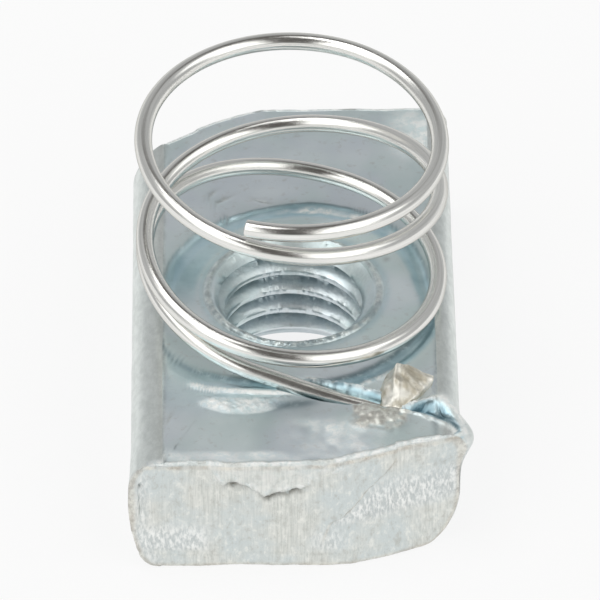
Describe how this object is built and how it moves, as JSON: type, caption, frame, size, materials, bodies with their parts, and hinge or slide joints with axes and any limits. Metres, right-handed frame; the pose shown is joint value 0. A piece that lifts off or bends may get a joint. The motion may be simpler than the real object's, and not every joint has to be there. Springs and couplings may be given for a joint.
{
  "type": "strut spring nut",
  "caption": "Rectangular tapped nut for a slotted steel channel, with a coil spring staked to its top face that holds it against the channel lips.",
  "frame": {"origin": "on the axis of the tapped hole, at the underside of the nut", "axes": "+Z along the hole, up to the face that carries the spring; +Y along the nut towards its back end; +X across the nut towards the side where the spring's tail is staked"},
  "size_m": [0.0203, 0.035, 0.0209],
  "materials": {
    "nut_steel": "bright zinc plated, sheared and rolled surfaces",
    "spring_steel": "smooth bright plated wire"
  },
  "bodies": {
    "root": {"nut_body": "nut_steel", "coil_spring": "spring_steel"}
  },
  "joints": []
}
